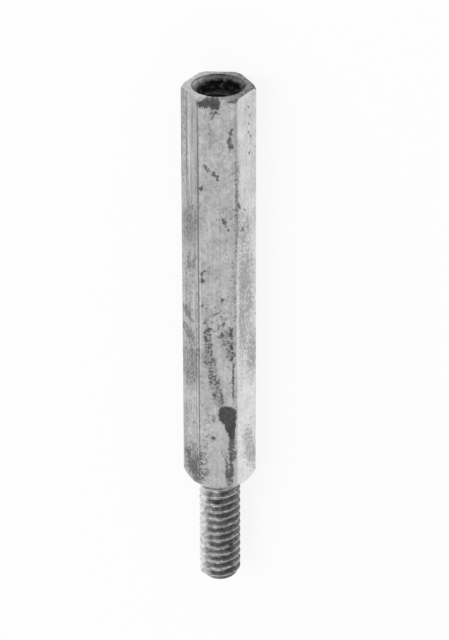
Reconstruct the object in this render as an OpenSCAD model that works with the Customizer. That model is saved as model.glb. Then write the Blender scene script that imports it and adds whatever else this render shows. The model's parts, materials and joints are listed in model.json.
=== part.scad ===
// Male-female hex standoff in millimetres: a hexagonal steel bar with a tapped hole
// in one end and a threaded stud turned on the other, all in one piece.
// It lies on one flat. The axis is X, and the origin is on the axis at the shoulder,
// with the stud towards -X and the tapped hole towards +X.

/* [Hex body] */
// Width of the bar across two opposite flats
hex_af = 9.525; // [9:0.005:14]
// Length of the hex body from the shoulder to the tapped end
hex_len = 65.09; // [35:0.01:120]
// Radius of the six rounded long edges
edge_r = 0.33; // [0.1:0.01:0.8]

/* [End bevels] */
// Width of the tapped end's bevel at the long edges, measured across the end face
tapped_bevel_w = 0.35; // [0.05:0.01:1.1]
// Slope of the tapped end's bevel, measured from the end face in degrees
tapped_bevel_a = 55; // [20:1:60]
// Width of the shoulder's bevel at the middle of each flat, measured across the shoulder
shoulder_bevel_w = 0.49; // [0.1:0.01:0.6]
// Slope of the shoulder's bevel, measured from the shoulder in degrees
shoulder_bevel_a = 42; // [25:1:55]

/* [Thread] */
// Nominal diameter of the thread on the stud and in the hole
thread_d = 6.35; // [4:0.01:6.9]
// Distance from one turn of the thread to the next
thread_pitch = 1.27; // [0.7:0.01:1.6]

/* [Tapped hole] */
// Depth of the round hole, from the end face to where the drill point starts
hole_depth = 19; // [8:0.1:30]
// Full angle of the drill point at the bottom of the hole, in degrees
drill_point_a = 118; // [90:1:140]
// How far the countersink's mouth reaches past the thread, on the radius
sink_over = 0.71; // [0.1:0.01:0.8]
// Full angle of the countersink, in degrees
sink_a = 90; // [60:1:120]

/* [Stud] */
// Length of the stud from the shoulder to its tip
stud_len = 17.46; // [6:0.01:35]
// How much thinner the stud is than the nominal thread, on the diameter
stud_allowance = 0.13; // [0:0.01:0.3]
// Length of the 45 degree bevel on the stud's tip
tip_bevel = 0.93; // [0.2:0.01:1.6]
// Distance from the shoulder to the top of the thread's first turn
first_crest = 1.1; // [0.6:0.01:1.8]
// Length of the stud that is left plain at the shoulder
plain_len = 0.4; // [0.2:0.01:0.5]
// Length over which the thread's groove runs out towards the plain length
run_out = 1.2; // [0.5:0.1:3]

/* [Hidden] */
$fn = 96;
full_turn = 360;

// A rounded edge is an arc about a centre set in from both of its flats,
// and stands a micron proud of them so that it meets each in a clean line
flats_a = 60;
edge_proud = 0.001;
edge_centre_r = (hex_af / 2 - edge_r) / cos(flats_a / 2);
flat_w = 2 * edge_centre_r * sin(flats_a / 2);
edge_reach = edge_centre_r + edge_r;

// Both end faces are discs, and the bevels run from them out past the long edges. The
// tapped end's disc is wider than the flats are apart, so its bevel takes only the corners
tapped_face_r = edge_reach - tapped_bevel_w;
shoulder_face_r = hex_af / 2 - shoulder_bevel_w;
blank_r = edge_reach + edge_r;
tapped_bevel_h = (blank_r - tapped_face_r) * tan(tapped_bevel_a);
shoulder_bevel_h = (blank_r - shoulder_face_r) * tan(shoulder_bevel_a);

// The hole's wall is at the tap drill's size, and the stud's at the tops of its thread
hole_r = (thread_d - thread_pitch) / 2;
drill_point_h = hole_r / tan(drill_point_a / 2);
sink_r = thread_d / 2 + sink_over;
sink_h = (sink_r - hole_r) / tan(sink_a / 2);
stud_r = (thread_d - stud_allowance) / 2;

// Form of one turn of the thread, whose groove is part of a sharp V
thread_a = 60;
sharp_h = thread_pitch / 2 / tan(thread_a / 2);
depth_share = 17 / 24;
crest_share = 1 / 8;
thread_depth = sharp_h * depth_share;
crest_w = thread_pitch * crest_share;
root_r = stud_r - thread_depth;
last_turn = ceil((stud_len - first_crest) / thread_pitch);

// A turn's ridge starts inside the core and is trimmed off at the crest
ridge_sunk = thread_pitch / 10;
ridge_proud = thread_pitch / 16;
ridge_foot_w = crest_w + 2 * (thread_depth + ridge_sunk) * tan(thread_a / 2);
ridge_top_w = crest_w - 2 * ridge_proud * tan(thread_a / 2);

// Cuts run on past the end face, and the stud runs on into the bar
run_on = 1;
sink_run_r = sink_r + run_on * tan(sink_a / 2);

// Hexagon with rounded corners: three slabs give the flats, and a disc fills each corner
module rounded_hexagon() {
    for (turn = [0 : flats_a : full_turn / 2 - flats_a])
        rotate(turn)
            square([hex_af, flat_w], center = true);
    for (turn = [flats_a / 2 : flats_a : full_turn])
        rotate(turn)
            translate([edge_centre_r, 0])
                circle(r = edge_r + edge_proud);
}

// Turned outline of the hex body: two end faces, two bevels and room for the edges
module turned_blank() {
    rotate_extrude()
        polygon([
            [0, 0],
            [shoulder_face_r, 0],
            [blank_r, shoulder_bevel_h],
            [blank_r, hex_len - tapped_bevel_h],
            [tapped_face_r, hex_len],
            [0, hex_len]
        ]);
}

// Drawn hexagonal bar, bevelled at both ends
module hex_bar() {
    intersection() {
        linear_extrude(height = hex_len)
            rounded_hexagon();
        turned_blank();
    }
}

// Countersunk blind hole, down from the tapped end
module tapped_hole() {
    translate([0, 0, hex_len])
        rotate_extrude()
            polygon([
                [0, -hole_depth - drill_point_h],
                [hole_r, -hole_depth],
                [hole_r, -sink_h],
                [sink_run_r, run_on],
                [0, run_on]
            ]);
}

// Stud as it is turned, before the thread is cut, with a bevelled tip
module stud_blank() {
    rotate_extrude()
        polygon([
            [0, -stud_len],
            [stud_r - tip_bevel, -stud_len],
            [stud_r, -stud_len + tip_bevel],
            [stud_r, run_on],
            [0, run_on]
        ]);
}

// Core of the stud, at the bottom of the groove, which widens to the plain length
module stud_core() {
    rotate_extrude()
        polygon([
            [0, -stud_len - run_on],
            [root_r, -stud_len - run_on],
            [root_r, -plain_len - run_out],
            [stud_r + thread_depth * (plain_len + run_on) / run_out, run_on],
            [0, run_on]
        ]);
}

// One turn of the thread, made as a level ring
module thread_turn() {
    rotate_extrude()
        polygon([
            [root_r - ridge_sunk, -ridge_foot_w / 2],
            [stud_r + ridge_proud, -ridge_top_w / 2],
            [stud_r + ridge_proud, ridge_top_w / 2],
            [root_r - ridge_sunk, ridge_foot_w / 2]
        ]);
}

// Threaded stud: the core and the turns, trimmed to the turned blank
module stud() {
    intersection() {
        stud_blank();
        union() {
            stud_core();
            for (turn = [0 : last_turn])
                translate([0, 0, -first_crest - turn * thread_pitch])
                    thread_turn();
        }
    }
}

// The whole piece, laid down on a flat
module hex_standoff() {
    color("#AFAFAC")
        rotate([0, 90, 0])
            difference() {
                union() {
                    hex_bar();
                    stud();
                }
                tapped_hole();
            }
}

hex_standoff();
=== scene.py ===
import json
import math
import bpy
import numpy as np
from mathutils import Matrix, Vector


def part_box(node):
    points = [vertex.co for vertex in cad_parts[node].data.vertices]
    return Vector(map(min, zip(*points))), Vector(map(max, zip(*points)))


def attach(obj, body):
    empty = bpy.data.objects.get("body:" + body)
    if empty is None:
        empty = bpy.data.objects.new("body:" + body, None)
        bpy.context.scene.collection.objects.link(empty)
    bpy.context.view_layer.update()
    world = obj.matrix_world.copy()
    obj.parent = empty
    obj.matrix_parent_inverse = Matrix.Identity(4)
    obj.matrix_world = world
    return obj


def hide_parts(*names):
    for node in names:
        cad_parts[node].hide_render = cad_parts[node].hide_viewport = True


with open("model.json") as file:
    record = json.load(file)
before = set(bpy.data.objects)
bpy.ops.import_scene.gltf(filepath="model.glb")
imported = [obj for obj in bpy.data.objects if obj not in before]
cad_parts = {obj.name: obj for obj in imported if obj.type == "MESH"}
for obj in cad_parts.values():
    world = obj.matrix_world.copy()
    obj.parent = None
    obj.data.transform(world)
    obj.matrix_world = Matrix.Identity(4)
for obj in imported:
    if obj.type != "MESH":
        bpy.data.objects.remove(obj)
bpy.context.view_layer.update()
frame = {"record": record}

# Hex body. Cold-drawn hexagonal steel bar, 3/8 in across its flats, faced and bevelled at both
# ends on the lathe. Body, stud and hole are one piece, so each section adds its rows of points
# to one skin, which is closed up after the last of them.
MM = 0.001
mounts = {mount["name"]: mount["dims"] for mount in frame["record"]["mounts"]}
low, high = (np.array(corner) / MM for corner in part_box("hex_standoff"))
hex_len = high[0]
stud_r = mounts["stud"]["r_mm"]
hole_r = mounts["tapped_hole"]["r_mm"]
thread_r = 6.35 / 2
sink_over = 0.71
sink_r = thread_r + sink_over

# The solid's rounded edges stand a micron proud of its flats, and so does its box
edge_proud = 0.001
half_af = high[2] - edge_proud
edge_r = 0.33
sixth = math.radians(60)
edge_centre_r = (half_af - edge_r) / math.cos(sixth / 2)
edge_half_a = sixth / 2 - math.atan((half_af - edge_r) * math.tan(sixth / 2) / half_af)

# The shoulder's bevel cuts into the flats. The tapped end's takes only the corners of the bar,
# and between them the flats end in an edge that is only just broken
shoulder_bevel_w = 0.49
shoulder_slope = math.tan(math.radians(42))
shoulder_face_r = half_af - shoulder_bevel_w
tapped_bevel_w = 0.35
tapped_slope = math.tan(math.radians(55))
tapped_face_r = edge_centre_r + edge_r - tapped_bevel_w
broken_edge = 0.08


def column_angles(arc_steps=4, flat_steps=20):
    """Angles about the axis of the skin's columns, from one long edge right round to itself.

    Each sixth of a turn is half an edge arc, a flat and half an edge arc, in even steps.
    """
    arc = np.linspace(0, edge_half_a, arc_steps + 1)
    flat = np.linspace(edge_half_a, sixth - edge_half_a, flat_steps + 1)
    one = np.concatenate([arc[:-1], flat[:-1], sixth - arc[::-1][:-1]])
    turns = np.arange(6)[:, None] * sixth + one[None, :]
    return np.append(turns.ravel(), 6 * sixth)


def bar_radius(angle):
    """Distance from the axis to the bar's skin: the flat's distance over the cosine of the
    angle from its middle, and near a long edge the far side of the edge arc's circle."""
    from_flat = (angle % sixth) - sixth / 2
    from_edge = sixth / 2 - np.abs(from_flat)
    reach = np.maximum(edge_r ** 2 - (edge_centre_r * np.sin(from_edge)) ** 2, 0)
    arc = edge_centre_r * np.cos(from_edge) + np.sqrt(reach)
    return np.where(from_edge < edge_half_a, arc, half_af / np.cos(from_flat))


def rounded_path(knots, cut_back, steps):
    """Path through knots (knot, column, 2) whose corners are cut back by a length and joined
    by a parabola: (1-t)^2 before + 2t(1-t) corner + t^2 after, for t from 0 to 1."""
    path = [knots[:1]]
    t = np.linspace(0, 1, steps + 1)[:, None, None]
    for corner in range(1, len(knots) - 1):
        back = knots[corner - 1] - knots[corner]
        on = knots[corner + 1] - knots[corner]
        before = knots[corner] + back * cut_back[corner] / np.linalg.norm(back, axis=1)[:, None]
        after = knots[corner] + on * cut_back[corner] / np.linalg.norm(on, axis=1)[:, None]
        path.append((1 - t) ** 2 * before + 2 * t * (1 - t) * knots[corner] + t ** 2 * after)
    path.append(knots[-1:])
    return np.concatenate(path)


def ring(along, radius):
    """One row of the skin: the place along the axis and the radius, at every column."""
    return np.stack([along + 0 * angle, radius + 0 * angle], axis=-1)


# Finishes, in the order in which the mesh gets its materials
TURNED, DRAWN, CUT = 0, 1, 2
skin_rows, skin_finish, skin_dirt_and_shade = [], [], []


def add_rows(rows, finish, dirt_and_shade=0.0):
    """Adds rows of points to the skin, with the finish of the strips that end at them and the
    share of dirt and painted shade that lies on them."""
    skin_rows.append(rows)
    skin_finish.append(np.broadcast_to(finish, len(rows)))
    skin_dirt_and_shade.append(np.broadcast_to(dirt_and_shade, rows.shape[:2]))


# Outline of the body from the stud to the hole's mouth, and how far each corner is cut back
angle = column_angles()
bar_r = bar_radius(angle)
shoulder_bevel_h = (bar_r - shoulder_face_r) * shoulder_slope
tapped_cut_w = np.maximum(bar_r - tapped_face_r, broken_edge)
tapped_cut_h = tapped_cut_w * tapped_slope
knots, cut_back = zip(
    (ring(0, stud_r), 0),
    (ring(0, shoulder_face_r), 0.07),
    (ring(shoulder_bevel_h, bar_r), 0.12),
    (ring(hex_len - tapped_cut_h, bar_r), 0.04),
    (ring(hex_len, bar_r - tapped_cut_w), 0.04),
    (ring(hex_len, sink_r), 0),
)
corner_steps = 4
body_rows = rounded_path(np.stack(knots), cut_back, corner_steps)

# The drawn skin starts at the last row of the second corner and ends halfway round the third
drawn_from = 2 * (corner_steps + 1)
drawn_to = drawn_from + 1 + corner_steps // 2
body_finish = np.full(len(body_rows), TURNED)
body_finish[drawn_from:drawn_to + 1] = DRAWN

# Stud. Turned down from the bar in one piece with it and cut with a die to 1/4-20, right-hand,
# almost up to the shoulder, where the groove runs out. Its tip is bevelled to start a nut.
tip = low[0]
tip_bevel = 0.93
first_crest = 1.1
plain_len = 0.4
run_out_len = 1.2
on_top = math.radians(90)

# The flanks of a thread stand 60 degrees apart, and on a bar it is 0.6134 of its pitch deep
pitch = 25.4 / 20
outer_depth_share = 0.6134
thread_depth = outer_depth_share * pitch
flank = math.tan(math.radians(30))
soft_corner = 0.025
turn_rise = pitch * angle / (2 * math.pi)


def thread_form(crest_r, root_r, crest_w, steps):
    """One pitch of a 60 degree thread, from the middle of a crest to the next: place along
    the axis and radius. The flanks stand at 30 degrees from square, with softened corners."""
    flank_w = abs(crest_r - root_r) * flank
    start = crest_w / 2
    along = [0, start, start + flank_w, pitch - start - flank_w, pitch - start, pitch]
    radius = [crest_r, crest_r, root_r, root_r, crest_r, crest_r]
    cut_back = [0, soft_corner, 2 * soft_corner, 2 * soft_corner, soft_corner, 0]
    knots = np.stack([along, radius], axis=-1)[:, None, :]
    return rounded_path(knots, cut_back, steps)[:, 0]


def helical_rows(form, start, stop, phase, spare_turns=3):
    """Rows that follow a right-hand helix, a pitch along the axis for each turn, between two
    planes square to the axis. What would lie past a plane is drawn back onto it."""
    turns = int(abs(stop - start) / pitch) + spare_turns
    first = math.floor((start - phase) / pitch) - 1
    offsets = (first + np.arange(turns))[:, None] * pitch + form[None, :-1, 0]
    along = offsets.ravel()[:, None] + turn_rise[None, :] + phase
    along = np.clip(along, start, stop)
    place = (along - turn_rise[None, :] - phase) % pitch
    radius = np.interp(place, form[:, 0], form[:, 1])
    return along, radius


# The flanks and the root get a point halfway between each two, so that the painted shade in the groove has
# a soft edge
crest_w = pitch / 8
stud_steps = 3
stud_form = thread_form(stud_r, stud_r - thread_depth, crest_w, stud_steps)
groove = stud_form[stud_steps + 1:-stud_steps - 1]
half_way = (groove[:-1] + groove[1:]) / 2
stud_form = np.concatenate([stud_form, half_way])
stud_form = stud_form[np.argsort(stud_form[:, 0], kind="stable")]
stud_phase = -first_crest - pitch * on_top / (2 * math.pi)
along, radius = helical_rows(stud_form, tip, 0, stud_phase)

# The thread is cut into a blank whose tip has a 45 degree bevel. Towards the shoulder its root
# climbs out of the steel, over the length of the run-out
blank = np.minimum(stud_r, stud_r - tip_bevel + (along - tip))
run_out = stud_r + (along + plain_len) * thread_depth / run_out_len
radius = np.maximum(np.minimum(radius, blank), np.minimum(run_out, blank))

# The crests hold a trace of dirt, and the strip that faces left is painted lighter, as painted light.
# In the groove a painted shade adds to it, thickest just under the crests and a quarter as thick at
# the root. It and the dirt on the tip's bevel are painted darker on the right-hand side, as painted
# shade. The first turns beside the shoulder get no shade, as painted light against its shadow
under_crest = 0.06
thinned_at_root = 0.75
bevel_film = 0.8
bevel_drop = 0.05
unshaded_len = 0.8
shade_rise_len = 1.8
left_strip = 0.2
right_hand = 0.5 - 0.5 * np.cos(angle)
turned_away = np.clip(right_hand / left_strip, 0, 1)
depth_share = np.clip((blank - radius) / thread_depth, 0, 1)
on_flank = np.clip(depth_share / under_crest, 0, 1) * (1 - thinned_at_root * depth_share)
on_bevel = np.where(blank < stud_r - bevel_drop, bevel_film, 0.0)
off_shoulder = np.clip((-along - unshaded_len) / shade_rise_len, 0, 1)
shade_and_dirt_share = np.maximum(on_flank * off_shoulder, on_bevel)
stud_dirt_and_shade = 0.1 + 0.2 * turned_away + (0.05 * turned_away + 0.45 * right_hand) * shade_and_dirt_share

# The body's rows follow the stud's. Its finishes don't read the dirt and shade, which counts only
# where its last row is also the countersink's first, as a dark rim
tip_core_r = 0.5 * stud_r
mouth_darkness = 0.8
tip_rings = [ring(tip, 0), ring(tip, tip_core_r), ring(tip, stud_r - tip_bevel)]
add_rows(np.stack(tip_rings), TURNED)
add_rows(np.stack([along, radius], axis=-1), CUT, stud_dirt_and_shade)
add_rows(body_rows, body_finish, mouth_darkness)

# Tapped hole. Drilled, countersunk and tapped 1/4-20, right-hand, in the end of the bar. The
# thread stops short of the drill's point, and the countersink takes its first turn away. The
# thread is painted near black and the countersink darker towards it, most of all on its right-hand
# side: painted shade in the hole.
hole_depth = 19.0
tapped_depth = 16.0
tap_taper = 0.3
drill_half_a = math.radians(59)
drill_point_h = hole_r / math.tan(drill_half_a)

# In a hole a thread is 0.5413 of its pitch deep, with crests a quarter of the pitch wide. The
# tap drill is a little bigger, which leaves them wider
inner_depth_share = 0.5413
hole_crest_w = pitch / 4 + 2 * (hole_r - thread_r + inner_depth_share * pitch) * flank
hole_steps = 2
hole_phase = 0.4
hole_form = thread_form(hole_r, thread_r, hole_crest_w, hole_steps)
along, radius = helical_rows(hole_form, hex_len - hole_depth, hex_len, hole_phase)
sink = sink_r - (hex_len - along)
last_turns = hole_r + np.maximum(along - hex_len + tapped_depth, 0) * tap_taper
radius = np.maximum(np.minimum(radius, last_turns), sink)

# The countersink is darker at its rim, and towards the thread and on its right-hand and lower
# sides it gets painted shade, over a grey base. From there on the hole is painted near black as
# its shade, and lighter further down
rim_w = 0.15
black_from = 0.88
towards_thread = np.clip((sink_r - radius) / (sink_r - thread_r), 0, 1)
on_rim = np.clip(1 - (sink_r - radius) / rim_w, 0, 1)
low_side = np.clip(-np.sin(angle), 0, 1)
sink_dirt_and_shade = 0.3 + 0.4 * right_hand + 0.14 * low_side + 0.4 * towards_thread ** 2 + 0.45 * on_rim
deep = hex_len - along
hole_dirt_and_shade = np.where(deep > black_from, np.clip(1.35 - 0.25 * deep, 0.55, 1.1), sink_dirt_and_shade)
drill_rings = [ring(hex_len - hole_depth, hole_r), ring(hex_len - hole_depth - drill_point_h, 0)]
add_rows(np.stack([along, radius], axis=-1)[::-1], CUT, hole_dirt_and_shade[::-1])
add_rows(np.stack(drill_rings), CUT, 1.0)

# The skin. All rows follow each other from the tip of the stud to the point of the hole, so the
# piece is one closed surface, as it is one piece of steel.
rows = np.concatenate(skin_rows)
finish = np.concatenate(skin_finish)
dirt_and_shade = np.concatenate(skin_dirt_and_shade)
along, radius = rows[..., 0], rows[..., 1]
skin = np.stack([along, radius * np.cos(angle), radius * np.sin(angle)], axis=-1).reshape(-1, 3)
count, columns = radius.shape
index = np.arange(count * columns).reshape(count, columns)
quads = np.stack([index[:-1, :-1], index[:-1, 1:], index[1:, 1:], index[1:, :-1]], axis=-1)
quad_finish = np.repeat(finish[1:], columns - 1)

# Points that coincide become one, and a face that loses a side to that is a triangle, or is
# left out where it has lost two
weld_mm = 1e-4
cells = np.round(skin / weld_mm)
_, first, where = np.unique(cells, axis=0, return_index=True, return_inverse=True)
quads = where.reshape(-1)[quads.reshape(-1, 4)]
kept_sides = quads != np.roll(quads, 1, axis=1)
whole = kept_sides.sum(axis=1) > 2
faces = [quad[kept].tolist() for quad, kept in zip(quads[whole], kept_sides[whole])]
mesh = bpy.data.meshes.new("hex_standoff_skin")
mesh.from_pydata(skin[first] * MM, [], faces)
mesh.polygons.foreach_set("material_index", quad_finish[whole].astype(np.int32))
dirt_and_shade_layer = mesh.attributes.new("dirt_and_shade", "FLOAT", "POINT")
dirt_and_shade_layer.data.foreach_set("value", dirt_and_shade.reshape(-1)[first].astype(np.float32))
mesh.update()
mesh.shade_smooth()
sharp_from = math.radians(28)
mesh.set_sharp_from_angle(angle=sharp_from)
standoff = bpy.data.objects.new("standoff_skin", mesh)
bpy.context.scene.collection.objects.link(standoff)
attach(standoff, "root")
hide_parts("hex_standoff")


def paint(hex_code):
    """Linear colour of an sRGB hex value: c / 12.92 when dark, else ((c + 0.055) / 1.055)^2.4."""
    srgb = np.array([int(hex_code[i:i + 2], 16) / 255 for i in (1, 3, 5)])
    linear = np.where(srgb <= 0.04045, srgb / 12.92, ((srgb + 0.055) / 1.055) ** 2.4)
    return (*linear.tolist(), 1.0)


def feed(tree, node, inputs):
    """Sets a node's inputs to values, or links them to other nodes' outputs."""
    for name, value in inputs.items():
        if isinstance(value, bpy.types.NodeSocket):
            tree.links.new(value, node.inputs[name])
        else:
            node.inputs[name].default_value = value


def put(tree, kind, inputs, out=0, **settings):
    """Adds a node, gives it its settings, feeds its inputs and returns one of its outputs."""
    node = tree.nodes.new(kind)
    for name, value in settings.items():
        setattr(node, name, value)
    feed(tree, node, inputs)
    return node.outputs[out]


def new_material(name):
    """A new material: its node tree, its shader and its Object coordinates in millimetres."""
    material = bpy.data.materials.new(name)
    material.use_nodes = True
    tree = material.node_tree
    shader = tree.nodes["Principled BSDF"]
    coords = put(tree, "ShaderNodeTexCoord", {}, out=3)
    in_mm = put(tree, "ShaderNodeMapping", {"Vector": coords, "Scale": (1 / MM, 1 / MM, 1 / MM)})
    return material, tree, shader, in_mm


def blots(tree, at, marks, grow=1.5, depth=2.5):
    """Field of marks on the flats, the greatest of all: 1 at a mark's middle, falling in a
    straight line to 0 at its half length and half width times grow. A mark is the flat (-1 left,
    0 upper, 1 right), the place along and across it in mm, half length, half width and turn.
    It reaches as deep under its flat as depth says, so that it stays off the flats beyond."""
    field = None
    for face, along, across, half_length, half_width, turn in marks:
        tilt = Matrix.Rotation(face * sixth, 3, "X")
        place = tilt @ Vector((along, across, half_af))
        turned = (tilt @ Matrix.Rotation(math.radians(turn), 3, "Z")).to_euler()
        spot = put(tree, "ShaderNodeMapping", {
            "Vector": at,
            "Location": place,
            "Rotation": turned,
            "Scale": (half_length * grow, half_width * grow, depth),
        }, vector_type="TEXTURE")
        fade = put(tree, "ShaderNodeTexGradient", {"Vector": spot}, out=1, gradient_type="SPHERICAL")
        if field is None:
            field = fade
        else:
            field = put(tree, "ShaderNodeMath", {0: field, 1: fade}, operation="MAXIMUM")
    return field


# Drawn steel, on the flats and the long edges. The bar went through a polished die, which left
# it smooth and half matt, with faint lines along it. Years in a drawer clouded it with tarnish,
# most on the left flat, and gave it rust freckles, smudges and dried oil. The left flat is also
# painted darker, as painted shade, and the right flat lighter, as painted light.

# Dried oil: a patch at the tapped end, and one drop with its run
end_patch = [
    (0, 64.6, 2.3, 0.85, 0.6, 0),
    (0, 64.5, 1.5, 0.85, 0.7, 0),
    (0, 64.4, 0.6, 0.95, 0.7, 0),
    (0, 64.3, 0.0, 0.95, 0.5, 0),
]
oil_marks = [
    (0, 13.3, -1.42, 1.3, 1.42, 0),
    (0, 12.6, -1.5, 1.3, 1.3, 0),
    (0, 11.2, -1.85, 1.3, 0.85, -8),
    (0, 10.1, -2.04, 1.3, 0.52, 0),
]

# The freckled trail that leads to the drop
trail_marks = [
    (0, 26.5, 1.5, 1.2, 0.55, 0),
    (0, 24.6, 1.3, 1.8, 0.55, 5),
    (0, 21.9, 1.05, 2.0, 0.75, 11),
    (0, 18.9, 0.5, 2.2, 0.85, 11),
    (0, 16.5, -0.02, 1.8, 0.8, 11),
    (0, 15.2, -0.4, 0.9, 0.7, 11),
]

# Smudges: the run of oil as it dries up, then spots and short strokes on all three flats
smudge_marks = [
    (0, 8.4, -2.1, 2.4, 0.6, 0),
    (0, 7.0, -2.12, 2.0, 0.65, 0),
    (0, 5.0, -1.95, 3.0, 0.5, 0),
    (0, 3.0, -1.4, 3.0, 0.35, 3),
    (0, 2.2, -1.8, 1.6, 0.5, 0),
    (0, 19.0, -2.3, 4.5, 0.2, 0),
    (0, 64.8, -2.1, 0.2, 0.9, 0),
    (0, 24.7, -2.0, 0.8, 0.4, 0),
    (-1, 2.9, -0.3, 2.0, 2.4, 0),
    (-1, 4.6, 1.0, 1.0, 1.2, 0),
    (-1, 2.6, -1.4, 3.2, 1.8, 0),
    (0, 9.0, 0.7, 0.4, 0.4, 0),
    (0, 35.7, 2.3, 0.4, 0.4, 0),
    (0, 36.7, 2.3, 0.3, 0.3, 0),
    (0, 26.6, -0.6, 0.5, 0.4, -50),
    (0, 27.1, -2.0, 1.0, 0.3, -10),
    (0, 22.9, -2.1, 0.8, 0.3, 0),
    (0, 57.7, -2.0, 0.7, 0.4, 0),
    (0, 58.7, -1.8, 0.8, 0.3, -15),
    (0, 60.0, -2.1, 0.7, 0.3, -20),
    (0, 54.0, 1.5, 0.7, 0.3, 20),
    (0, 53.1, 0.4, 0.5, 0.28, 30),
    (0, 52.4, -0.1, 0.6, 0.3, 10),
    (0, 62.9, 0.2, 0.3, 0.7, 0),
    (0, 62.3, 0.6, 0.5, 0.2, -20),
    (0, 44.2, -1.6, 0.4, 0.3, 15),
    (0, 45.5, -1.0, 0.8, 0.22, 15),
    (0, 50.8, 2.3, 0.6, 0.3, 15),
    (0, 37.3, 1.9, 0.2, 0.3, 0),
    (0, 31.5, 2.2, 0.3, 0.4, 0),
    (0, 32.5, -0.7, 0.5, 0.3, -15),
    (0, 28.6, -0.9, 0.4, 0.4, -15),
    (0, 27.7, 1.2, 0.2, 0.8, 0),
    (0, 28.6, 1.7, 0.3, 0.4, 0),
    (1, 47.7, 1.9, 0.8, 0.3, 40),
    (1, 46.5, 0.4, 0.5, 0.2, 40),
    (1, 43.5, 1.0, 0.4, 0.6, -30),
    (1, 62.6, -0.6, 0.3, 0.2, 45),
    (1, 61.1, -1.0, 0.4, 0.2, 20),
    (1, 60.0, -0.6, 0.4, 0.2, 35),
    (1, 58.6, -0.6, 0.3, 0.2, 40),
    (1, 57.8, -1.1, 0.4, 0.2, 30),
    (1, 55.1, -0.8, 0.4, 0.2, 25),
]

# Where rust freckles lie closer together, and where the steel is clouded with tarnish
freckle_marks = [
    (0, 7.5, 1.78, 3.6, 0.3, 0),
    (0, 12.4, 0.9, 0.9, 0.8, 0),
    (0, 28.9, 0.3, 2.2, 2.0, 0),
    (0, 46.1, -0.7, 1.6, 0.9, 10),
    (0, 46.6, -2.9, 9.0, 0.35, 0),
    (-1, 9.0, 0.0, 5.0, 2.4, 0),
    (1, 39.0, 0.6, 5.0, 1.8, 0),
    (1, 30.0, 0.2, 9.0, 2.4, 0),
    (1, 22.2, -1.5, 5.2, 1.4, 0),
    (1, 6.0, -0.7, 5.0, 2.1, 10),
    (-1, 30.0, 0.0, 12.0, 3.0, 0),
    (-1, 58.0, 1.0, 8.0, 1.2, 0),
]
tarnish_marks = [
    (-1, 44.4, -0.3, 3.4, 2.1, -30),
    (-1, 38.0, -1.2, 1.2, 0.5, -25),
    (-1, 37.5, 0.4, 1.3, 0.5, 0),
    (-1, 28.7, 0.9, 0.7, 1.8, -20),
    (-1, 25.4, 0.6, 0.9, 1.9, -20),
    (-1, 20.5, -0.4, 4.0, 2.2, -20),
    (-1, 4.0, -0.6, 3.4, 2.4, -40),
    (0, 24.7, -1.5, 2.0, 1.1, 0),
    (0, 47.0, -2.98, 8.0, 0.3, 0),
    (1, 44.0, 0.8, 3.5, 1.6, 15),
    (1, 33.0, 0.6, 7.0, 2.2, 0),
    (1, 27.0, 1.0, 5.0, 1.2, 0),
    (1, 22.0, -1.5, 4.0, 1.6, 0),
    (1, 5.5, -1.2, 3.4, 1.4, 20),
]

# Lines along the bar. The dark ones at the upper flat's left long edge are painted shade, and the
# two on the left flat were drawn by the die. The bright ones at the upper flat's long edges are
# painted highlights, and the one on the left flat is rubbed bright
edge_shade_and_streak_lines = [
    (0, 54.0, 2.75, 18.0, 0.17, 0),
    (0, 32.0, 2.75, 70.0, 0.11, 0),
    (-1, 57.0, 0.9, 7.0, 0.12, 0),
    (-1, 16.0, -1.9, 20.0, 0.09, 0),
]
highlight_and_rubbed_lines = [
    (0, 32.0, -2.95, 10.0, 0.28, 0),
    (-1, 57.0, 0.05, 8.0, 0.4, 0),
    (0, 30.0, 2.5, 14.0, 0.09, 0),
]

# Patterns, in repeats per mm. The steel is mottled every 0.5 mm, with clouds 2.4 mm wide and
# freckles 0.4 mm wide. The die's lines are hair-fine on the real bar, too fine to show here, so
# they are drawn 0.3 mm wide, and the ticks that break up the oil's edge 0.2 mm wide
mottle_per_mm = 2.0
clouds_per_mm = 0.42
flecks_per_mm = 2.4
lines_per_mm = (0.08, 3.4, 3.4)
ticks_per_mm = (1.2, 5.0, 5.0)
drawn_steel, tree, shader, in_mm = new_material("drawn_steel")
mottle = put(tree, "ShaderNodeTexNoise", {
    "Vector": in_mm, "Scale": mottle_per_mm, "Detail": 5.0, "Roughness": 0.75,
})
flecks = put(tree, "ShaderNodeTexNoise", {
    "Vector": in_mm, "Scale": flecks_per_mm, "Detail": 3.0, "Roughness": 0.6,
})
lines_at = put(tree, "ShaderNodeMapping", {"Vector": in_mm, "Scale": lines_per_mm})
lines = put(tree, "ShaderNodeTexNoise", {
    "Vector": lines_at, "Scale": 1.0, "Detail": 4.0, "Roughness": 0.65,
})
ticks_at = put(tree, "ShaderNodeMapping", {"Vector": in_mm, "Scale": ticks_per_mm})
ticks = put(tree, "ShaderNodeTexNoise", {
    "Vector": ticks_at, "Scale": 1.0, "Detail": 3.0, "Roughness": 0.65,
})

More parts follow.
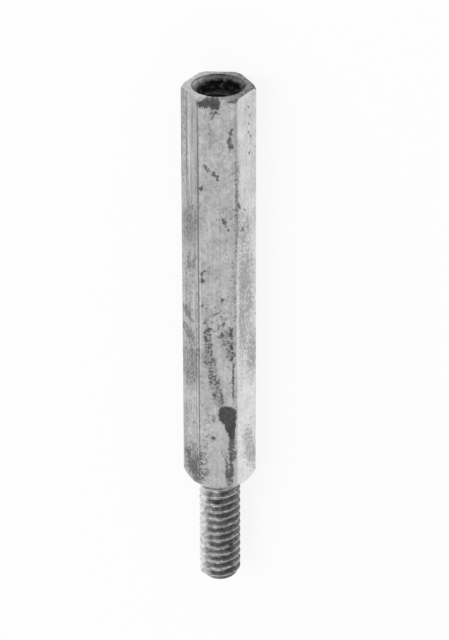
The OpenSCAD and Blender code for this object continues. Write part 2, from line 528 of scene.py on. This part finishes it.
# Marks are laid out on coordinates that wander, so that their edges are ragged, or only wavy
wander_per_mm = 1.8
ragged_by = (0.9, 0.9, 0.9)
wavy_by = (0.3, 0.3, 0.3)
warp = put(tree, "ShaderNodeTexNoise", {
    "Vector": in_mm, "Scale": wander_per_mm, "Detail": 4.0, "Roughness": 0.7,
}, out=1)
warp = put(tree, "ShaderNodeVectorMath", {0: warp, 1: (0.5, 0.5, 0.5)}, operation="SUBTRACT")
ragged = put(tree, "ShaderNodeVectorMath", {0: warp, 1: ragged_by, 2: in_mm}, operation="MULTIPLY_ADD")
wavy = put(tree, "ShaderNodeVectorMath", {0: warp, 1: wavy_by, 2: in_mm}, operation="MULTIPLY_ADD")
clouds = put(tree, "ShaderNodeTexNoise", {
    "Vector": ragged, "Scale": clouds_per_mm, "Detail": 5.0, "Roughness": 0.62,
})
tarnish = blots(tree, ragged, tarnish_marks)
tarnish = put(tree, "ShaderNodeMapRange", {"Value": tarnish, "From Max": 0.6})

# Tone, from dull to bright: each pattern adds its own share. The side flats start 2.75 mm to
# either side; the left one is painted darker, as painted shade, and the right one lighter, as
# painted light, and the die's lines show more on the left one
left_side = (2.7, 2.9)
right_side = (-2.9, -3.05)
along_bar = put(tree, "ShaderNodeSeparateXYZ", {"Vector": in_mm}, out=0)
sideways = put(tree, "ShaderNodeSeparateXYZ", {"Vector": in_mm}, out=1)
on_left = put(tree, "ShaderNodeMapRange", {
    "Value": sideways, "From Min": left_side[0], "From Max": left_side[1],
})
on_right = put(tree, "ShaderNodeMapRange", {
    "Value": sideways, "From Min": right_side[0], "From Max": right_side[1],
})
line_share = put(tree, "ShaderNodeMath", {0: on_left, 1: 0.7, 2: 0.5}, operation="MULTIPLY_ADD")
lines_off_middle = put(tree, "ShaderNodeMath", {0: lines, 1: -0.5}, operation="ADD")
tone = put(tree, "ShaderNodeMath", {0: mottle, 1: 1.1, 2: -0.27}, operation="MULTIPLY_ADD")
tone_shares = [
    (lines_off_middle, line_share),
    (clouds, 0.7),
    (along_bar, -0.0035),
    (on_left, -0.12),
    (on_right, 0.26),
    (tarnish, -0.18),
]
for pattern, share in tone_shares:
    tone = put(tree, "ShaderNodeMath", {0: pattern, 1: share, 2: tone}, operation="MULTIPLY_ADD")

# Rust freckles show where the flecks rise high enough, and most in the zones that help them up
trail = blots(tree, wavy, trail_marks)
trail = put(tree, "ShaderNodeMapRange", {"Value": trail, "From Min": 0.1, "From Max": 0.45})
freckle_zone = blots(tree, ragged, freckle_marks)
freckle_zone = put(tree, "ShaderNodeMapRange", {"Value": freckle_zone, "From Max": 0.6})
risen = flecks
for zone, share in [(freckle_zone, 0.09), (tarnish, 0.13), (trail, 0.15)]:
    risen = put(tree, "ShaderNodeMath", {0: zone, 1: share, 2: risen}, operation="MULTIPLY_ADD")
freckles = put(tree, "ShaderNodeMapRange", {
    "Value": risen, "From Min": 0.59, "From Max": 0.74, "To Max": 0.62,
}, interpolation_type="SMOOTHSTEP")
fainter = put(tree, "ShaderNodeMath", {0: on_right, 1: -0.35, 2: 1.0}, operation="MULTIPLY_ADD")
freckles = put(tree, "ShaderNodeMath", {0: freckles, 1: fainter}, operation="MULTIPLY")
freckles = put(tree, "ShaderNodeMath", {0: trail, 1: 0.28, 2: freckles}, operation="MULTIPLY_ADD")

# Smudges are broken up by the flecks, and the lines along the bar are left whole
smudges = blots(tree, ragged, smudge_marks)
smudges = put(tree, "ShaderNodeMath", {0: flecks, 1: 1.8, 2: smudges}, operation="MULTIPLY_ADD")
smudges = put(tree, "ShaderNodeMapRange", {
    "Value": smudges, "From Min": 1.05, "From Max": 1.7, "To Max": 0.88,
}, interpolation_type="SMOOTHSTEP")
# Painted shade and highlights along the upper flat's long edges, with streaks on the left flat
edge_shade_and_streaks = put(tree, "ShaderNodeMapRange", {
    "Value": blots(tree, in_mm, edge_shade_and_streak_lines), "From Min": 0.1, "From Max": 0.8, "To Max": 0.65,
})
highlights_and_rubbing = put(tree, "ShaderNodeMapRange", {
    "Value": blots(tree, in_mm, highlight_and_rubbed_lines), "From Min": 0.1, "From Max": 0.8, "To Max": 0.45,
})

# The oil has a firm edge. It is black where it is thick, and grey where it has worn thin
oil = blots(tree, wavy, oil_marks)
oil = put(tree, "ShaderNodeMath", {0: mottle, 1: 0.6, 2: oil}, operation="MULTIPLY_ADD")
oil = put(tree, "ShaderNodeMapRange", {
    "Value": oil, "From Min": 0.55, "From Max": 0.72, "To Max": 0.95,
}, interpolation_type="SMOOTHSTEP")
patch = blots(tree, in_mm, end_patch)
patch = put(tree, "ShaderNodeMath", {0: ticks, 1: 0.9, 2: patch}, operation="MULTIPLY_ADD")
patch = put(tree, "ShaderNodeMapRange", {
    "Value": patch, "From Min": 0.6, "From Max": 0.95, "To Max": 0.95,
}, interpolation_type="SMOOTHSTEP")
oil = put(tree, "ShaderNodeMath", {0: oil, 1: patch}, operation="MAXIMUM")
worn_thin = put(tree, "ShaderNodeMapRange", {"Value": mottle, "From Min": 0.3, "From Max": 0.7})
oily = put(tree, "ShaderNodeMix", {
    "Factor": worn_thin, "A": paint("#303030"), "B": paint("#666666"),
}, out=2, data_type="RGBA")

# Colour, from dull steel up: each layer covers what lies under it by its share
dull_steel = paint("#8c8c8c")
bright_steel = paint("#f0f0f0")
colour = dull_steel
drawn_layers = [
    (tone, bright_steel),
    (freckles, paint("#5a5a5a")),
    (smudges, paint("#565656")),
    (edge_shade_and_streaks, paint("#505050")),
    (highlights_and_rubbing, paint("#ffffff")),
    (oil, oily),
]
for cover, tint in drawn_layers:
    colour = put(tree, "ShaderNodeMix", {"Factor": cover, "A": colour, "B": tint}, out=2, data_type="RGBA")
relief_mm = 0.03
relief = put(tree, "ShaderNodeMath", {0: lines, 1: 0.6, 2: mottle}, operation="MULTIPLY_ADD")
feed(tree, shader, {
    "Base Color": colour,
    "Metallic": 1.0,
    "Roughness": put(tree, "ShaderNodeMapRange", {"Value": mottle, "To Min": 0.34, "To Max": 0.54}),
    "Normal": put(tree, "ShaderNodeBump", {"Height": relief, "Strength": 0.3, "Distance": relief_mm * MM}),
})

# Turned steel, on the faces and bevels. The lathe tool left fine rings round the axis, which
# give it a soft gloss. The patch of oil on the flat goes on over the tapped end, whose
# right-hand side is painted darker as shade, and the rims that stick out most carry painted
# highlights.
lip_highlight = [(-0.5, 65.1, 0.0, 0.4, 0.65, 0)]

# Where each mark on the ends starts and is full: along the bar, across it, or from the axis
tapped_zone = (hex_len - 5, hex_len - 3)
shade_across = (3.5, -4.0)
dark_mouth = (sink_r + 0.13, sink_r + 0.03)
rim_highlight_along = (0.55, 0.3)
rim_highlight_from_axis = (4.1, 4.2)

# The tool's feed left rings about 0.1 mm apart, too fine to show here, so they are drawn 0.2 mm
# apart. The mottle is a little finer than the drawn steel's
rings_per_mm = 5.0
turned_mottle_per_mm = 2.2
turned_steel, tree, shader, in_mm = new_material("turned_steel")
along_bar = put(tree, "ShaderNodeSeparateXYZ", {"Vector": in_mm}, out=0)
sideways = put(tree, "ShaderNodeSeparateXYZ", {"Vector": in_mm}, out=1)
square_to_axis = put(tree, "ShaderNodeVectorMath", {0: in_mm, 1: (0.0, 1.0, 1.0)}, operation="MULTIPLY")
from_axis = put(tree, "ShaderNodeVectorMath", {0: square_to_axis}, out=1, operation="LENGTH")
rings_at = put(tree, "ShaderNodeCombineXYZ", {"X": along_bar, "Y": from_axis})
rings = put(tree, "ShaderNodeTexNoise", {"Vector": rings_at, "Scale": rings_per_mm, "Detail": 2.0})
mottle = put(tree, "ShaderNodeTexNoise", {
    "Vector": in_mm, "Scale": turned_mottle_per_mm, "Detail": 4.0, "Roughness": 0.7,
})
tone = put(tree, "ShaderNodeMath", {0: rings, 1: 0.6, 2: -0.75}, operation="MULTIPLY_ADD")
tone = put(tree, "ShaderNodeMath", {0: mottle, 1: 1.9, 2: tone}, operation="MULTIPLY_ADD")

# Painted shade on the right-hand side of the tapped end, and dark round the countersink's mouth
at_tapped_end = put(tree, "ShaderNodeMapRange", {
    "Value": along_bar, "From Min": tapped_zone[0], "From Max": tapped_zone[1], "To Max": 0.9,
})
shade_side = put(tree, "ShaderNodeMapRange", {
    "Value": sideways, "From Min": shade_across[0], "From Max": shade_across[1],
})
right_shade = put(tree, "ShaderNodeMath", {0: shade_side, 1: at_tapped_end}, operation="MULTIPLY")
blotched = put(tree, "ShaderNodeMapRange", {
    "Value": mottle, "From Min": 0.3, "From Max": 0.7, "To Min": 1.2, "To Max": 0.6,
})
right_shade = put(tree, "ShaderNodeMath", {0: right_shade, 1: blotched}, operation="MULTIPLY")
oil = blots(tree, in_mm, end_patch)
oil = put(tree, "ShaderNodeMath", {0: mottle, 1: 0.5, 2: oil}, operation="MULTIPLY_ADD")
oil = put(tree, "ShaderNodeMapRange", {
    "Value": oil, "From Min": 0.5, "From Max": 0.72, "To Max": 0.9,
}, interpolation_type="SMOOTHSTEP")
dark_rim = put(tree, "ShaderNodeMapRange", {
    "Value": from_axis, "From Min": dark_mouth[0], "From Max": dark_mouth[1], "To Max": 0.6,
})
dark_rim = put(tree, "ShaderNodeMath", {0: dark_rim, 1: at_tapped_end}, operation="MULTIPLY")

# Painted highlights: the shoulder's rim, and the tapped end's lip between the left and upper flats
highlights_and_rubbing = put(tree, "ShaderNodeMapRange", {
    "Value": blots(tree, in_mm, lip_highlight), "From Max": 0.6, "To Max": 0.4,
})
at_shoulder = put(tree, "ShaderNodeMapRange", {
    "Value": along_bar, "From Min": rim_highlight_along[0], "From Max": rim_highlight_along[1], "To Max": 0.5,
})
on_rim = put(tree, "ShaderNodeMapRange", {
    "Value": from_axis, "From Min": rim_highlight_from_axis[0], "From Max": rim_highlight_from_axis[1],
})
rim_highlight = put(tree, "ShaderNodeMath", {0: at_shoulder, 1: on_rim}, operation="MULTIPLY")
highlights_and_rubbing = put(tree, "ShaderNodeMath", {0: highlights_and_rubbing, 1: rim_highlight}, operation="MAXIMUM")

colour = dull_steel
turned_layers = [
    (tone, bright_steel),
    (right_shade, paint("#5a5a5a")),
    (oil, paint("#484848")),
    (dark_rim, paint("#505050")),
    (highlights_and_rubbing, paint("#ffffff")),
]
for cover, tint in turned_layers:
    colour = put(tree, "ShaderNodeMix", {"Factor": cover, "A": colour, "B": tint}, out=2, data_type="RGBA")
feed(tree, shader, {
    "Base Color": colour,
    "Metallic": 1.0,
    "Roughness": 0.4,
    "Normal": put(tree, "ShaderNodeBump", {"Height": rings, "Strength": 0.4, "Distance": relief_mm * MM}),
})

# Cut thread steel, on the stud, in the hole and on the countersink. The die left the crests
# sharp, and they are rubbed bright. The grooves hold a grey film that is partly dirt and partly
# painted shade, and the hole is painted black as its shade, so both look duller than the crests.
stud_marks = [
    (0, -3.2, 0.35, 0.5, 1.2, 0),
    (0, -10.5, 0.45, 0.45, 0.7, 0),
    (0.6, -11.5, 0.0, 0.9, 0.7, 0),
    (0, -5.4, -0.6, 0.4, 0.9, 0),
]
film_per_mm = 1.1
cut_thread, tree, shader, in_mm = new_material("cut_thread_steel")
# The skin's share of dirt and painted shade, made patchy, with stains on the stud
dirt_and_shade_at = put(tree, "ShaderNodeAttribute", {}, out=2, attribute_name="dirt_and_shade")
patchy = put(tree, "ShaderNodeTexNoise", {
    "Vector": in_mm, "Scale": film_per_mm, "Detail": 5.0, "Roughness": 0.7,
})
film_and_shade = put(tree, "ShaderNodeMath", {0: patchy, 1: 1.2, 2: -0.6}, operation="MULTIPLY_ADD")
film_and_shade = put(tree, "ShaderNodeMath", {0: film_and_shade, 1: dirt_and_shade_at}, operation="ADD")
stud_stains = blots(tree, in_mm, stud_marks)
film_and_shade = put(tree, "ShaderNodeMath", {0: stud_stains, 1: 1.8, 2: film_and_shade}, operation="MULTIPLY_ADD")
grey = put(tree, "ShaderNodeMapRange", {"Value": film_and_shade, "From Min": 0.0, "From Max": 0.5})
black = put(tree, "ShaderNodeMapRange", {"Value": film_and_shade, "From Min": 0.5, "From Max": 1.05})
colour = paint("#f4f4f4")
for cover, tint in [(grey, paint("#848484")), (black, paint("#1c1c1c"))]:
    colour = put(tree, "ShaderNodeMix", {"Factor": cover, "A": colour, "B": tint}, out=2, data_type="RGBA")
feed(tree, shader, {
    "Base Color": colour,
    "Metallic": 1.0,
    "Roughness": put(tree, "ShaderNodeMapRange", {"Value": black, "To Min": 0.38, "To Max": 0.8}),
})
for material in (turned_steel, drawn_steel, cut_thread):
    mesh.materials.append(material)

# Floor. A wide sheet of white paper, which the part lies on. What the camera and the metal see
# of it is lifted most of the way to white, and the shadow stays.
floor_half = 3.0
floor_z = low[2] * MM
paper_lift = 0.86
corners = [(-1, -1), (1, -1), (1, 1), (-1, 1)]
floor_mesh = bpy.data.meshes.new("paper_floor")
floor_mesh.from_pydata([(x * floor_half, y * floor_half, floor_z) for x, y in corners], [], [(0, 1, 2, 3)])
floor = bpy.data.objects.new("paper_floor", floor_mesh)
bpy.context.scene.collection.objects.link(floor)
white_paper, tree, shader, _ = new_material("white_paper")
feed(tree, shader, {"Base Color": paint("#f4f4f4"), "Roughness": 0.9})
rays = tree.nodes.new("ShaderNodeLightPath").outputs
seen = rays["Is Camera Ray"]
for ray in ("Is Glossy Ray", "Is Transmission Ray"):
    seen = put(tree, "ShaderNodeMath", {0: seen, 1: rays[ray]}, operation="MAXIMUM")
lift = put(tree, "ShaderNodeMath", {0: seen, 1: paper_lift}, operation="MULTIPLY")
glow = put(tree, "ShaderNodeEmission", {"Color": paint("#ffffff"), "Strength": 1.0})
surface = put(tree, "ShaderNodeMixShader", {0: lift, 1: shader.outputs[0], 2: glow})
feed(tree, tree.nodes["Material Output"], {"Surface": surface})
floor_mesh.materials.append(white_paper)

# Light. An even white tent, and one soft lamp above the part's left side, towards its tapped end.
lamp_place = Vector((0.15, 0.3, 0.5))
lamp_aim = Vector((0.025, 0, 0))
world = bpy.data.worlds.new("white_tent")
bpy.context.scene.world = world
world.use_nodes = True
feed(world.node_tree, world.node_tree.nodes["Background"], {"Color": paint("#d6d6d6")})
lamp = bpy.data.lights.new("soft_lamp", "AREA")
lamp.energy = 1.6
lamp.size = 0.4
lamp_object = bpy.data.objects.new("soft_lamp", lamp)
lamp_object.location = lamp_place
lamp_object.rotation_euler = (lamp_aim - lamp_place).to_track_quat("-Z", "Y").to_euler()
bpy.context.scene.collection.objects.link(lamp_object)

# Camera. It looks down on the lying part along the line from which the photo shows it upright.
# Its angles, aim, distance and lens were fitted to the part's outline in the photo.
view_tilt = math.radians(28.7283)
view_turn = math.radians(2.9879)
view_roll = math.radians(0.1605)
aim = Vector((26.6473, -0.7839, 0)) * MM
distance = 587.5906 * MM
camera_data = bpy.data.cameras.new("camera")
camera_data.sensor_width = 36
camera_data.lens = 222.7366
camera_data.clip_start = 0.01
camera_data.clip_end = 20
camera = bpy.data.objects.new("camera", camera_data)
turned = Matrix.Rotation(view_turn, 4, "X") @ Matrix.Rotation(view_tilt, 4, "Y")
turned = turned @ Matrix.Rotation(-math.pi / 2 - view_roll, 4, "Z")
camera.matrix_world = Matrix.Translation(aim + turned.to_3x3() @ Vector((0, 0, distance))) @ turned
bpy.context.scene.collection.objects.link(camera)
bpy.context.scene.camera = camera
bpy.context.scene.view_settings.view_transform = "Standard"
